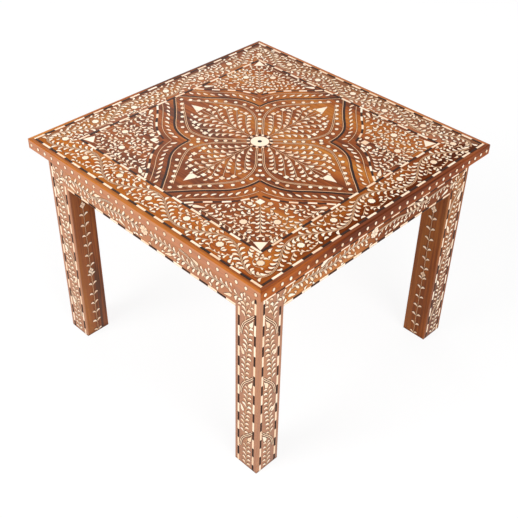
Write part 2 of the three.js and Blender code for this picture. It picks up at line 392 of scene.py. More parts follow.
def soften(node, material, shortest):
    """The edges on the floor get their larger radius first, and then all long edges theirs."""
    low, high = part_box(node)
    work = bmesh.new()
    work.from_mesh(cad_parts[node].data)
    bmesh.ops.remove_doubles(work, verts=work.verts, dist=SAME_PLACE)
    bmesh.ops.dissolve_limit(work, angle_limit=FLAT_ANGLE, verts=work.verts, edges=work.edges)
    for radius, segments in ((FOOT_RADIUS, FOOT_SEGMENTS), (EDGE_RADIUS, EDGE_SEGMENTS)):
        edges = long_outer_edges(work, low, high, shortest)
        if radius == FOOT_RADIUS:
            edges = [edge for edge in edges if all(vert.co.z < MM for vert in edge.verts)]
        bmesh.ops.bevel(work, geom=edges, offset=radius, segments=segments, **BEVEL)
    piece = linked(node + "_soft", mesh_of(work, node + "_soft"))
    piece.data.shade_smooth()
    piece.data.set_sharp_from_angle(angle=SMOOTH_ANGLE)
    dress(piece.data, material)
    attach(piece, "root")
    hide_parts(node)


print("edges rounded by", EDGE_RADIUS / MM, "mm, and by", FOOT_RADIUS / MM, "mm at the feet")

# %% Border boards, aprons and legs
LONG_EDGE = 100 * MM
LEG_EDGE = 20 * MM
# Below this rim the front and left sides of the top get a painted sheen.
SHEEN_RIM = 2 * MM
below_sheen_rim = top_height - SHEEN_RIM
BORDER_LOOKS = [
    {"darkness": 0.12, "sheen_below": below_sheen_rim},
    {"darkness": 0.36, "heart": (-0.18, 0.21, 0.62)},
    {"darkness": 0.2, "sapwood": 0.16},
    {"darkness": 0.3, "sapwood": 0.06, "sheen_below": below_sheen_rim},
]
APRON_LOOKS = [{"lightness": 0.8, "sapwood": 0.35} for side in SIDES]
APRON_LOOKS[1] = {"lightness": 0.88, "sapwood": 0.08, "heart": (0.0, 1.0, 1.0)}
# Each leg's last value is the painted sheen on its outer faces.
LEG_LOOKS = [
    {"lightness": 0.5, "darkness": 0.28, "sapwood": 0.2, "bleached": 0.28},
    {"lightness": 0.52, "darkness": 0.28, "sapwood": 0.06, "bleached": 0.06},
    {"lightness": 0.62, "darkness": 0.28, "sapwood": 0.1, "bleached": 0.28},
    {"lightness": 0.62, "darkness": 0.16, "sapwood": 0.12, "bleached": 0.38},
]
for number, (side, grain) in enumerate(zip(SIDES, "xyxy")):
    border_wood = rosewood("border_" + side, grain, 10 + number, **BORDER_LOOKS[number])
    soften("border_board_" + side, border_wood, LONG_EDGE)
    apron_wood = rosewood("apron_" + side, grain, 20 + number, darkness=0.12, **APRON_LOOKS[number])
    soften("apron_" + side, apron_wood, LONG_EDGE)
for number, corner in enumerate(CORNERS):
    # Each foot darkens towards the floor, as painted floor shade and wear.
    leg_wood = rosewood("leg_" + corner, "z", 30 + number, foot_shade_and_wear=0.7, **LEG_LOOKS[number])
    soften("leg_" + corner, leg_wood, LEG_EDGE)
print("soft wooden pieces:", 2 * len(SIDES) + len(CORNERS))

# %% [markdown]
# The field boards keep the frame's own meshes, because their edges meet their neighbours.
# The inner pieces are plain, duller wood, and the screws are steel. Steel, lac and horn
# are all made by one rule: small grains that vary the colour, the shine and the relief.


# %% Grained finishes
def tone_of(graph):
    """The number that a chip carries, which the inlay's rules give it."""
    return graph.wire("ShaderNodeAttribute", {"attribute_name": "tone"}, out="Fac")


def speckled(name, scale, dark, light, shine, specular=0.5, chip_share=0.0, metallic=0.0):
    """Shine gives how much the roughness varies and its lowest value. Chip_share says how
    much of the colour follows each chip's own tone."""
    material, graph = new_material(name)
    grains = graph.speckle(scale)
    share = grains
    if chip_share:
        share = graph.math("MULTIPLY_ADD", tone_of(graph), chip_share, grains * (1 - chip_share))
    inputs = {
        "Base Color": graph.mixed(share, dark, light),
        "Roughness": grains * shine[0] + shine[1],
        "Specular IOR Level": specular,
        "Metallic": metallic,
    }
    surface(graph, inputs, bump=grains)
    return material


print("materials of the wood so far:", len(bpy.data.materials))

# %% Field boards, inner wood and screws
FIELD_LOOK = {"lightness": 0.95, "darkness": 0.38}
FIELD_WOODS = [rosewood("field_%d" % n, "x", 40 + n, **FIELD_LOOK) for n in range(3)]
INNER_WOOD = rosewood("inner_wood", "y", 50, lightness=0.85, darkness=0.2, dull=0.3)
STEEL = speckled("screw_steel", 900.0, rgb(118, 114, 108), rgb(150, 146, 138), (0.3, 0.25), metallic=1.0)
for name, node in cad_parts.items():
    if name.startswith("field_board"):
        dress(node.data, FIELD_WOODS[int(name[-1]) - 1])
    elif name.startswith(("mitre_key", "corner_block", "batten_left", "batten_right")):
        dress(node.data, INNER_WOOD)
    elif "screw" in name:
        dress(node.data, STEEL)
print("materials:", len(bpy.data.materials))

# %% [markdown]
# The maker saws every chip from a thin plate of bone and sets it in a hole that is a little
# too wide. The seam around it is filled with dark lac, which gives each chip its dark
# outline. So every shape here is made twice: as a prism of bone that stands a hair above
# the wood, and as a wider and lower prism of lac around it. The pattern is drawn in the
# units of a sheet, nearly millimetres, and is scaled to the real lines.

# %% Outlines of the chips
PETAL_SHARES = [(0.35, 0.55), (0.78, 1.0), (0.95, 0.6)]


def ring(count, radius_x, radius_y=None, turn=0.0, center=(0, 0)):
    """Points of an oval, the other way round from a clock."""
    radius_y = radius_y or radius_x
    angles = [turn + 2 * math.pi * i / count for i in range(count)]
    return [(center[0] + radius_x * math.cos(a), center[1] + radius_y * math.sin(a)) for a in angles]


def leaf_outline(length, width, bend, shares):
    """A comma: a spine that bends, with a thin tail and a full head. The shares say how
    wide it is at some places between its two ends."""
    upper = []
    lower = []
    for place, share in shares:
        middle = 4 * bend * length * place * (1 - place)
        upper.append((length * place, middle + width / 2 * share))
        lower.append((length * place, middle - width / 2 * share))
    return [(0, 0), *lower, (length, 0), *reversed(upper)]


def scalloped(lobes, outer, inner):
    """A flower sawn from one piece, with a shallow notch between its petals."""
    tips = ring(3 * lobes, outer)
    notches = ring(3 * lobes, inner)
    return [notches[i] if i % 3 == 0 else tips[i] for i in range(3 * lobes)]


def flower(count, inner, outer, width):
    """Petals round a small centre, each a chip of its own."""
    petal = leaf_outline(outer - inner, width, 0, PETAL_SHARES)
    petals = []
    for number in range(count):
        angle = 2 * math.pi * number / count
        cos, sin = math.cos(angle), math.sin(angle)
        petals.append([((x + inner) * cos - y * sin, (x + inner) * sin + y * cos) for x, y in petal])
    return petals


print("points of a flower with five lobes:", len(scalloped(5, 5.0, 3.8)))

# %% Prisms of bone and of lac
INNER_LINE_ON_SHEET = 232.5
UNIT = inner_line / INNER_LINE_ON_SHEET
BONE_TOP = 0.28
SEAM_TOP = 0.10
CHIP_FLOOR = -0.35
SEAM_WIDTH = 0.85
CHIPS = {}


def widened(outline, by=SEAM_WIDTH):
    """The outline moved outwards, as the saw leaves the hole for it."""
    wide = []
    count = len(outline)
    for i in range(count):
        before, here, after = (Vector(outline[(i + k) % count]) for k in (-1, 0, 1))
        normals = [(b - a).normalized() for a, b in ((before, here), (here, after))]
        outwards = Vector((normals[0].y + normals[1].y, -normals[0].x - normals[1].x))
        wide.append(tuple(here + outwards.normalized() * by))
    return wide


def prism(name, outlines, top, bottom=CHIP_FLOOR):
    work = bmesh.new()
    for outline in outlines:
        floor, roof = (
            [work.verts.new((x * UNIT, y * UNIT, z * UNIT)) for x, y in outline]
            for z in (bottom, top)
        )
        work.faces.new(roof)
        work.faces.new(reversed(floor))
        for i in range(len(outline)):
            j = (i + 1) % len(outline)
            work.faces.new((floor[i], floor[j], roof[j], roof[i]))
    return bpy.data.objects.new(name, mesh_of(work, name))


def chip(name, outlines, seams=None):
    seams = seams or [widened(outline) for outline in outlines]
    CHIPS[name] = {
        "bone": prism(name + "_chip", outlines, BONE_TOP),
        "lac": prism(name + "_seam", seams, SEAM_TOP),
    }


print("one unit of the sheet is", round(UNIT / MM, 4), "mm")

# %% All kinds of chips
LEAF_SHARES = [(0.15, 0.32), (0.38, 0.66), (0.6, 0.95), (0.78, 1.0), (0.93, 0.66)]
SLIVER_SHARES = [(0.2, 0.7), (0.5, 1.0), (0.8, 0.8)]
DROP_SHARES = [(0.15, 0.3), (0.4, 0.62), (0.62, 0.92), (0.8, 1.0), (0.93, 0.68)]
SEAM_SHIFT = 0.4
# The length, width and bend of each leaf, and its shares of the width.
LEAVES_SAWN = {
    "leaf": (10.6, 4.8, 0.19, LEAF_SHARES),
    "fan_leaf": (11.4, 5.9, 0.2, LEAF_SHARES),
    "small_leaf": (8.2, 4.1, 0.18, LEAF_SHARES),
    "sliver": (12.4, 4.2, 0.07, SLIVER_SHARES),
}
SINGLE_CHIPS = {
    "teardrop": leaf_outline(23, 7.6, 0.0, DROP_SHARES),
    "bud": leaf_outline(19, 8.0, 0.05, DROP_SHARES),
    "dot": ring(10, 3.6),
    "edge_dot": ring(8, 2.9, 3.4),
    "lozenge": scalloped(4, 5.1, 3.4),
    "square": ring(4, 8.4, turn=math.pi / 4),
    "petal_tip": leaf_outline(8.6, 4.2, 0.08, SLIVER_SHARES),
    "rosette": scalloped(8, 6.4, 5.5),
    "small_flower": scalloped(5, 5.0, 3.8),
    "bead": ring(8, 3.3, 2.2),
    "wedge": [(-2.9, -0.8), (2.4, -1.7), (2.4, 1.7), (-2.9, 0.8)],
}
LOZENGE_PLACES = ((3.5, 0), (-3.5, 0), (0, 2.8), (0, -2.8))


def flipped(outline):
    return [(x, -y) for x, y in reversed(outline)]


for kind, shape in LEAVES_SAWN.items():
    outline = leaf_outline(*shape)
    seam = [(x, y + SEAM_SHIFT) for x, y in widened(outline)]
    chip(kind + "_right", [outline], [seam])
    chip(kind + "_left", [flipped(outline)], [flipped(seam)])
for kind, outline in SINGLE_CHIPS.items():
    chip(kind, [outline])
chip("star", [*flower(8, 1.4, 10.2, 6.0), ring(8, 1.7)], [ring(16, 10.7)])
chip("four_lozenges", [ring(4, 3.1, 2.3, center=place) for place in LOZENGE_PLACES])
print("kinds of chips:", len(CHIPS), "faces in a leaf:", len(CHIPS["leaf_left"]["bone"].data.polygons))

# %% [markdown]
# Leaves follow stems, pieces of bone and horn follow a line by turns, thin lines run along
# curves, single chips stand at given places, and loose leaves fill what is left. Each of
# these rules is one Geometry Nodes tree, which is built once and then used on many
# drawings. A tree has named inputs for its sizes, and mostly a seed that makes every chip
# a little different, as if each had been sawn by hand.


# %% A rule is a geometry tree with named inputs
# Three places of a chip that have to be free: how far along it and how far out in its bend
# they are, and their share of the room that it needs.
PROBES = ((0.12, 0.06, 0.4), (0.6, 0.18, 1.0), (0.95, 0.04, 0.4))


class Rule(Graph):
    """Works as a modifier. The labels of its inputs are given by kind."""

    KINDS = {
        "numbers": "NodeSocketFloat",
        "counts": "NodeSocketInt",
        "choices": "NodeSocketBool",
        "objects": "NodeSocketObject",
        "materials": "NodeSocketMaterial",
    }

    def __init__(self, name, **labels):
        super().__init__(bpy.data.node_groups.new(name, "GeometryNodeTree"))
        face = self.tree.interface
        face.new_socket("Geometry", in_out="INPUT", socket_type="NodeSocketGeometry")
        for kind, names in {**labels, "materials": "material"}.items():
            for label in names.split():
                face.new_socket(label, in_out="INPUT", socket_type=self.KINDS[kind])
        face.new_socket("Geometry", in_out="OUTPUT", socket_type="NodeSocketGeometry")
        self.given = self.node("NodeGroupInput")

    def __getitem__(self, label):
        return Wire(self, self.given.outputs[label])

    def identifier(self, label):
        items = self.tree.interface.items_tree
        return next(i.identifier for i in items if i.name == label and i.in_out == "INPUT")

    def shape(self, label):
        """The geometry of an object that is given as an input."""
        return self.wire("GeometryNodeObjectInfo", {}, {"Object": self[label]}, out="Geometry")

    def random(self, low, high, offset):
        inputs = {2: low, 3: high, "Seed": self["seed"] + offset}
        return self.wire("FunctionNodeRandomValue", {"data_type": "FLOAT"}, inputs, out=1)

    def attribute(self, name):
        return self.wire("GeometryNodeInputNamedAttribute", {"data_type": "FLOAT"}, {"Name": name})

    def stored(self, geometry, name, value, domain="POINT"):
        inputs = {"Geometry": geometry, "Name": name, "Value": value}
        settings = {"data_type": "FLOAT", "domain": domain}
        return self.wire("GeometryNodeStoreNamedAttribute", settings, inputs)

    def free(self, angle, size, side):
        """Where a chip at this angle would lie clear of the chips that are already there."""
        taken = self.shape("taken")
        here = self.wire("GeometryNodeInputPosition")
        cos = self.math("COSINE", angle)
        sin = self.math("SINE", angle)
        free = None
        for share, bulge, room in PROBES:
            reach = size * self["reach"] * share
            out = size * self["reach"] * bulge * side
            step = self.xyz(cos * reach + sin * out, sin * reach - cos * out)
            spot = self.wire("ShaderNodeVectorMath", {"operation": "ADD"}, {0: here, 1: step})
            near = {"Geometry": taken, "Sample Position": spot}
            gap = self.wire("GeometryNodeProximity", {"target_element": "FACES"}, near, out="Distance")
            clear = self.math("GREATER_THAN", gap, self["room"] * room)
            free = clear if free is None else free * clear
        return free

    def chips(self, points, label, angle, size, where=None):
        """A chip on every point, turned by an angle in the plane of the sheet."""
        inputs = {"Points": points, "Selection": where, "Instance": self.shape(label)}
        inputs = {**inputs, "Rotation": self.xyz(z=angle), "Scale": size}
        return self.wire("GeometryNodeInstanceOnPoints", {}, inputs)

    def end(self, geometry):
        real = self.wire("GeometryNodeRealizeInstances", {}, {"Geometry": geometry})
        painted = {"Geometry": real, "Material": self["material"]}
        done = self.wire("GeometryNodeSetMaterial", {}, painted)
        self.node("NodeGroupOutput", {}, {"Geometry": done})

    def end_chips(self, chips):
        """Gives every chip a number of its own, which its material turns into a shade."""
        self.end(self.stored(chips, "tone", self.random(0.0, 1.0, 5), "INSTANCE"))


print("kinds of inputs:", list(Rule.KINDS))

# %% Leaves along stems
LEAF_PLAY = 0.22
LEAF_SIZES = (0.9, 1.1)
LEAF_SINK = 0.06


def leaf_rule():
    """Cuts the start off each stem, spreads points along the rest, and turns a leaf there to
    each side, away from the tip by the lean. The sweep opens the lean towards the tip."""
    rule = Rule(
        "leaves along stems",
        objects="left_chip right_chip taken",
        choices="left right",
        numbers="spacing start lean sweep away play reach room",
        counts="seed",
    )
    both = rule.node("GeometryNodeJoinGeometry")
    by_length = {"mode": "LENGTH"}
    for number, (side, sign) in enumerate((("left", 1), ("right", -1))):
        reach = rule.wire("GeometryNodeSplineLength")
        cut = {"Curve": rule["Geometry"], 4: rule["start"], 5: reach}
        rest = rule.wire("GeometryNodeTrimCurve", by_length, cut)
        share = rule.wire("GeometryNodeSplineParameter", out="Factor")
        spread = {"Curve": rule.stored(rest, "share", share), "Length": rule["spacing"]}
        outs = ("Points", "Tangent")
        points, way = rule.wires(outs, "GeometryNodeCurveToPoints", by_length, spread)
        along_x, along_y = rule.wires((0, 1), "ShaderNodeSeparateXYZ", {}, {0: way})
        away = rule["away"] * sign
        lift = rule.random(-LEAF_SINK * UNIT, 0.0, 3 + number)
        shift = rule.xyz(along_y * away * -1, along_x * away, lift)
        moved = rule.wire("GeometryNodeSetPosition", {}, {"Geometry": points, "Offset": shift})
        lean = rule["lean"] + rule["sweep"] * rule.attribute("share")
        lean = (lean + rule.random(-LEAF_PLAY, LEAF_PLAY, 1 + number) * rule["play"]) * sign
        angle = rule.math("ARCTAN2", along_y, along_x) + lean
        size = rule.wire("GeometryNodeInputRadius") * rule.random(*LEAF_SIZES, 7 + number)
        where = rule[side] * rule.free(angle, size, sign)
        leaves = rule.chips(moved, side + "_chip", angle, size, where)
        rule.tree.links.new(leaves.socket, both.inputs[0])
    rule.end_chips(Wire(rule, both.outputs[0]))
    return rule


LEAVES = leaf_rule()
print("nodes in the rule for leaves:", len(LEAVES.tree.nodes))


# %% Pieces and lines
def piece_rule():
    """Straight pieces end to end. The line is cut into half pieces, so every fourth point is
    the middle of a piece of one colour, and the other colour lies between them."""
    rule = Rule("pieces along lines", objects="piece", numbers="length", counts="first seed")
    reach = rule.wire("GeometryNodeSplineLength")
    count = rule.math("ROUND", reach / rule["length"])
    halves = {"Curve": rule["Geometry"], "Count": count * 2 + 1}
    line = rule.wire("GeometryNodeResampleCurve", {"mode": "COUNT"}, halves)
    number = rule.wire("GeometryNodeSplineParameter", out="Index")
    chosen = rule.math("COMPARE", rule.math("MODULO", number, 4), rule["first"], 0.1)
    way = rule.wire("GeometryNodeInputTangent")
    along_x, along_y = rule.wires((0, 1), "ShaderNodeSeparateXYZ", {}, {0: way})
    size = rule.xyz(reach / count / rule["length"], 1.0, 1.0)
    rule.end_chips(rule.chips(line, "piece", rule.math("ARCTAN2", along_y, along_x), size, chosen))
    return rule


def line_rule():
    rule = Rule("inlaid lines", numbers="width height")
    upright = rule.wire("GeometryNodeSetCurveNormal", {"mode": "Z_UP"}, {"Curve": rule["Geometry"]})
    sizes = {"Width": rule["width"], "Height": rule["height"]}
    profile = rule.wire("GeometryNodeCurvePrimitiveQuadrilateral", {}, sizes)
    strip = {"Curve": upright, "Profile Curve": profile, "Fill Caps": True}
    rule.end(rule.wire("GeometryNodeCurveToMesh", {}, strip))
    return rule


PIECES = piece_rule()
LINES = line_rule()
print("nodes in the rules for pieces and lines:", len(PIECES.tree.nodes), len(LINES.tree.nodes))

# %% Single chips and loose leaves
MARK_SIZES = (0.95, 1.05)
LOOSE_PLAY = 0.5
LOOSE_SIZES = (0.88, 1.06)
FLOW_SCALE = 22.0
FLOW_TURN = 16
MOST_LEAVES = 40000.0


def mark_rule():
    rule = Rule("single chips", objects="piece", counts="seed")
    size = rule.attribute("size") * rule.random(*MARK_SIZES, 2)
    rule.end_chips(rule.chips(rule["Geometry"], "piece", rule.attribute("turn"), size))
    return rule


def filling_rule():
    """Loose leaves over an area, wherever there is still room for one."""
    rule = Rule(
        "leaves that fill an area",
        objects="piece taken",
        numbers="side spacing reach room",
        counts="seed",
    )
    spread = {
        "Mesh": rule["Geometry"],
        "Distance Min": rule["spacing"],
        "Density Max": MOST_LEAVES,
        "Seed": rule["seed"],
    }
    method = {"distribute_method": "POISSON"}
    points = rule.wire("GeometryNodeDistributePointsOnFaces", method, spread)
    flow = rule.wire("ShaderNodeTexNoise", {}, {"Scale": FLOW_SCALE, "Detail": 0.0})
    angle = flow * FLOW_TURN + rule.random(-LOOSE_PLAY, LOOSE_PLAY, 1)
    size = rule.random(*LOOSE_SIZES, 2)
    rule.end_chips(rule.chips(points, "piece", angle, size, rule.free(angle, size, rule["side"])))
    return rule


MARKS = mark_rule()
FILLING = filling_rule()
print("nodes in the rules for chips and loose leaves:", len(MARKS.tree.nodes), len(FILLING.tree.nodes))


# %% Running a rule
def grown(holder, rule, **values):
    """Runs a rule on an object and gives back its result as a plain mesh."""
    bpy.context.scene.collection.objects.link(holder)
    modifier = holder.modifiers.new(rule.tree.name, "NODES")
    modifier.node_group = rule.tree
    for label, value in values.items():
        modifier[rule.identifier(label)] = value
    scene_now = bpy.context.evaluated_depsgraph_get()
    mesh = bpy.data.meshes.new_from_object(holder.evaluated_get(scene_now))
    bpy.data.objects.remove(holder)
    return mesh


print("geometry rules:", [rule.tree.name for rule in (LEAVES, PIECES, LINES, MARKS, FILLING)])

# %% [markdown]
# Bone is warm white with faint streaks, and no two chips have the same shade. The horn
# pieces are near black with a soft shine. Lac is dark brown and dull. The thin lines are
# strings of pale wood: mostly tan, and nearly white for the stems and crossings of the
# aprons and the crossings on the legs.


# %% Materials of the inlay
def bone_material(name, tone=None):
    """Bone whose shade follows each chip's own number, or is the same all over."""
    material, graph = new_material(name)
    stops = [(0.0, rgb(238, 201, 165)), (0.4, rgb(250, 221, 191)), (1.0, rgb(255, 237, 214))]
    tone = tone_of(graph) if tone is None else tone
    color = graph.wire("ShaderNodeValToRGB", {"stops": stops}, {"Fac": tone})
    streaks = graph.speckle(700.0, 3.0)
    color = graph.mixed(streaks * 0.25, color, rgb(214, 184, 142))
    inputs = {"Base Color": color, "Roughness": streaks * 0.2 + 0.3}
    surface(graph, inputs, bump=streaks, bump_distance=0.05 * MM)
    return material


BONE = bone_material("bone")
BONE_PLATE = bone_material("bone_plate", 0.8)
HORN = speckled("horn", 260.0, rgb(24, 12, 7), rgb(62, 32, 16), (0.3, 0.35), 0.12, chip_share=0.5)
LAC = speckled("lac", 420.0, rgb(34, 16, 9), rgb(64, 32, 17), (0.2, 0.45), 0.12)
TAN, PALE_TAN = rgb(206, 146, 102), rgb(238, 190, 146)
CREAM, PALE_CREAM = rgb(228, 184, 148), rgb(247, 216, 184)
STRINGING = speckled("pale_stringing", 500.0, TAN, PALE_TAN, (0.2, 0.4), 0.3)
WHITE_STRINGING = speckled("white_stringing", 500.0, CREAM, PALE_CREAM, (0.2, 0.4), 0.3)
PLATE_NAMES = ("centre_roundel", "petal_triangle", "corner_triangle")
PLATES = [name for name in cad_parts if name.startswith(PLATE_NAMES)]
for name in PLATES:
    dress(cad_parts[name].data, BONE_PLATE)
dress(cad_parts["centre_pin"].data, HORN)
print("inlay materials:", [m.name for m in (BONE, BONE_PLATE, HORN, LAC, STRINGING, WHITE_STRINGING)])

# %% [markdown]
# The pattern itself is drawn flat, as on the maker's paper: stems that carry leaves, lines,
# and places for single chips. A drawing can be repeated by quarter turns and mirror
# images before it is cut, and the finished sheet is then laid on a face of the table.


# %% Drawing lines on the flat
def smooth(points, steps=6):
    """A rounded line through all the points."""
    nodes = [Vector(p) for p in points]
    nodes = [2 * nodes[0] - nodes[1], *nodes, 2 * nodes[-1] - nodes[-2]]
    line = []
    for a, b, c, d in zip(nodes, nodes[1:], nodes[2:], nodes[3:]):
        for step in range(steps):
            t = step / steps
            bend = (2 * a - 5 * b + 4 * c - d) * t + (3 * b - a - 3 * c + d) * t * t
            line.append(b + 0.5 * t * ((c - a) + bend))
    line.append(nodes[-2])
    return line


def parallel(line, distance, test=lambda point: True):
    """The line moved to its left by a distance, and what of it passes the test."""
    moved = []
    for i, point in enumerate(line):
        along = (line[min(i + 1, len(line) - 1)] - line[max(i - 1, 0)]).normalized()
        moved.append(point + Vector((-along.y, along.x)) * distance)
    return [point for point in moved if test(point)]


def spiral(center, start_radius, end_radius, start, end, steps=26):
    """A tendril that winds round a centre, with its angles in degrees."""
    line = []
    for step in range(steps + 1):
        share = step / steps
        radius = start_radius + (end_radius - start_radius) * share ** 0.8
        angle = math.radians(start + (end - start) * share)
        line.append(Vector(center) + radius * Vector((math.cos(angle), math.sin(angle))))
    return line


def length_of(line):
    return sum((b - a).length for a, b in zip(line, line[1:]))


print("a quarter turn of a tendril is", round(length_of(spiral((0, 0), 10, 10, 0, 90)), 2), "long")


# %% A sheet to draw on
class Sheet:
    """A flat drawing for one face: stems with leaves, lines, pieces, single chips and areas."""

    def __init__(self):
        self.stems = []
        self.lines = []
        self.dashes = []
        self.marks = []
        self.areas = []

    def stem(self, line, kind="leaf", side="both", size=(1.0, 1.0), **row):
        self.stems.append(([Vector(p) for p in line], kind, side, size, row))

    def line(self, line, kind):
        self.lines.append(([Vector(p) for p in line], kind))

    def vine(self, line, kind="leaf", side="both", size=(1.0, 1.0), **row):
        """A stem that is a fine line itself."""
        self.line(line, "fine")
        self.stem(line, kind, side, size, **row)

    def pair(self, line, distance, kind, test=lambda point: True):
        """Two lines, at a distance to either side of the given one."""
        for way in (-distance, distance):
            self.line(parallel(line, way, test), kind)

    def dash(self, line, wish, first=1, odd=False):
        """Pieces about as long as wished, in an even or an odd number. The first is horn for 1."""
        line = [Vector(p) for p in line]
        reach = length_of(line)
        count = max(2 * round((reach / wish - odd) / 2) + odd, 1)
        self.dashes.append((line, reach / count, first))

    def mark(self, place, kind, turn=0.0, size=1.0):
        self.marks.append((Vector(place), kind, math.radians(turn), size))

    def area(self, outline):
        self.areas.append([Vector(p) for p in outline])

    def copied(self, quarter=0, mirror=False, shift=(0, 0)):
        """The same drawing after a mirror image, a quarter turn and a shift."""
        spin = Matrix.Rotation(quarter * math.pi / 2, 2)
        flip = Vector((1, -1 if mirror else 1))
        other = {"left": "right", "right": "left", "both": "both"}

        def placed(points):
            return [spin @ (point * flip) + Vector(shift) for point in points]

        copy = Sheet()
        for line, kind, side, size, row in self.stems:
            copy.stem(placed(line), kind, other[side] if mirror else side, size, **row)
        for line, kind in self.lines:
            copy.line(placed(line), kind)
        for line, length, first in self.dashes:
            copy.dashes.append((placed(line), length, first))
        for place, kind, turn, size in self.marks:
            turn = (-turn if mirror else turn) + quarter * math.pi / 2
            copy.marks.append((*placed([place]), kind, turn, size))
        for outline in self.areas:
            copy.area(placed(outline))
        return copy

    def add(self, *others):
        for other in others:
            for part, rows in vars(self).items():
                rows.extend(getattr(other, part))
        return self


print("parts of a drawing:", list(vars(Sheet())))

# %% [markdown]
# Now the drawing becomes inlay. All stems of one kind go into one curve object, whose
# point radius says how large the leaves are there. The rule is run twice on it, once with
# the bone chips and once with their seams, and with the same seed, so both fall together.

# %% Guides for the rules
DASH_TOP = 0.26
FAR_AWAY = (9000, 9000)


def curve_object(lines, sizes=None):
    data = bpy.data.curves.new("guide", "CURVE")
    data.dimensions = "3D"
    for line, (first, last) in zip(lines, sizes or [(1, 1)] * len(lines)):
        spline = data.splines.new("POLY")
        spline.points.add(len(line) - 1)
        for i, (point, place) in enumerate(zip(spline.points, line)):
            point.co = (place.x * UNIT, place.y * UNIT, 0, 1)
            point.radius = first + (last - first) * i / max(len(line) - 1, 1)
    return bpy.data.objects.new("guide", data)


def point_object(marks):
    data = bpy.data.meshes.new("guide")
    data.from_pydata([(place.x * UNIT, place.y * UNIT, 0) for place, *rest in marks], [], [])
    for name, column in (("turn", 2), ("size", 3)):
        layer = data.attributes.new(name, "FLOAT", "POINT")
        layer.data.foreach_set("value", [mark[column] for mark in marks])
    return bpy.data.objects.new("guide", data)


def area_object(areas):
    """Flat faces that say where loose leaves may lie."""
    work = bmesh.new()
    for outline in areas:
        work.faces.new([work.verts.new((point.x * UNIT, point.y * UNIT, 0)) for point in outline])
    return bpy.data.objects.new("guide", mesh_of(work, "guide"))


def bar(length, width, depth):
    x, y = length / 2, width / 2
    return prism("bar", [[(-x, -y), (x, -y), (x, y), (-x, y)]], DASH_TOP, -depth)


def fresh_wood():
    """What is taken on a bare face: one chip far outside, because a search needs a face."""
    return prism("taken", [ring(3, 1.0, center=FAR_AWAY)], SEAM_TOP)


def take(wood, mesh):
    """Adds a mesh to what is taken of the wood."""
    work = bmesh.new()
    work.from_mesh(wood.data)
    work.from_mesh(mesh)
    work.to_mesh(wood.data)
    work.free()


print("corners of a straight piece:", len(bar(20, 4, 0.35).data.vertices))

# %% Cutting a sheet
LAYER_SLOTS = {"bone": "bone", "stringing": "bone", "horn": "horn", "seams": "horn"}
ROW_DEFAULTS = {"sweep": 0.0, "room": 2.5}
LEAF_ROWS = {
    "leaf": {"spacing": 10.6, "start": 4.0, "lean": 0.85, "away": 1.4, "play": 0.8},
    "fan_leaf": {"spacing": 12.2, "start": 3.5, "lean": 0.5, "sweep": 0.6, "away": 1.6, "play": 0.4},
    "small_leaf": {"spacing": 8.8, "start": 3.0, "lean": 0.85, "away": 1.0, "play": 0.8},
    "sliver": {"spacing": 13.6, "start": 6.0, "lean": 0.55, "away": 0.0, "play": 0.6},
}
NO_LENGTHS = ("lean", "sweep", "play")
# The layer and the material of a line, its width, how much wider its seam is, and its height.
STRIP_KINDS = {
    "string": ("stringing", STRINGING, 1.3, 1.5, 0.2),
    "fine": ("stringing", STRINGING, 1.05, 1.5, 0.18),
    "black": ("horn", HORN, 3.1, 1.2, 0.22),
    "thread": ("stringing", STRINGING, 1.1, 0.8, 0.18),
    "over": ("stringing", WHITE_STRINGING, 1.45, 2.2, 0.24),
    "vine": ("stringing", WHITE_STRINGING, 1.0, 1.8, 0.19),
}
FENCE_WIDTH = 3.0


def grouped(rows, key):
    groups = {}
    for row in rows:
        groups.setdefault(key(row), []).append(row)
    return groups


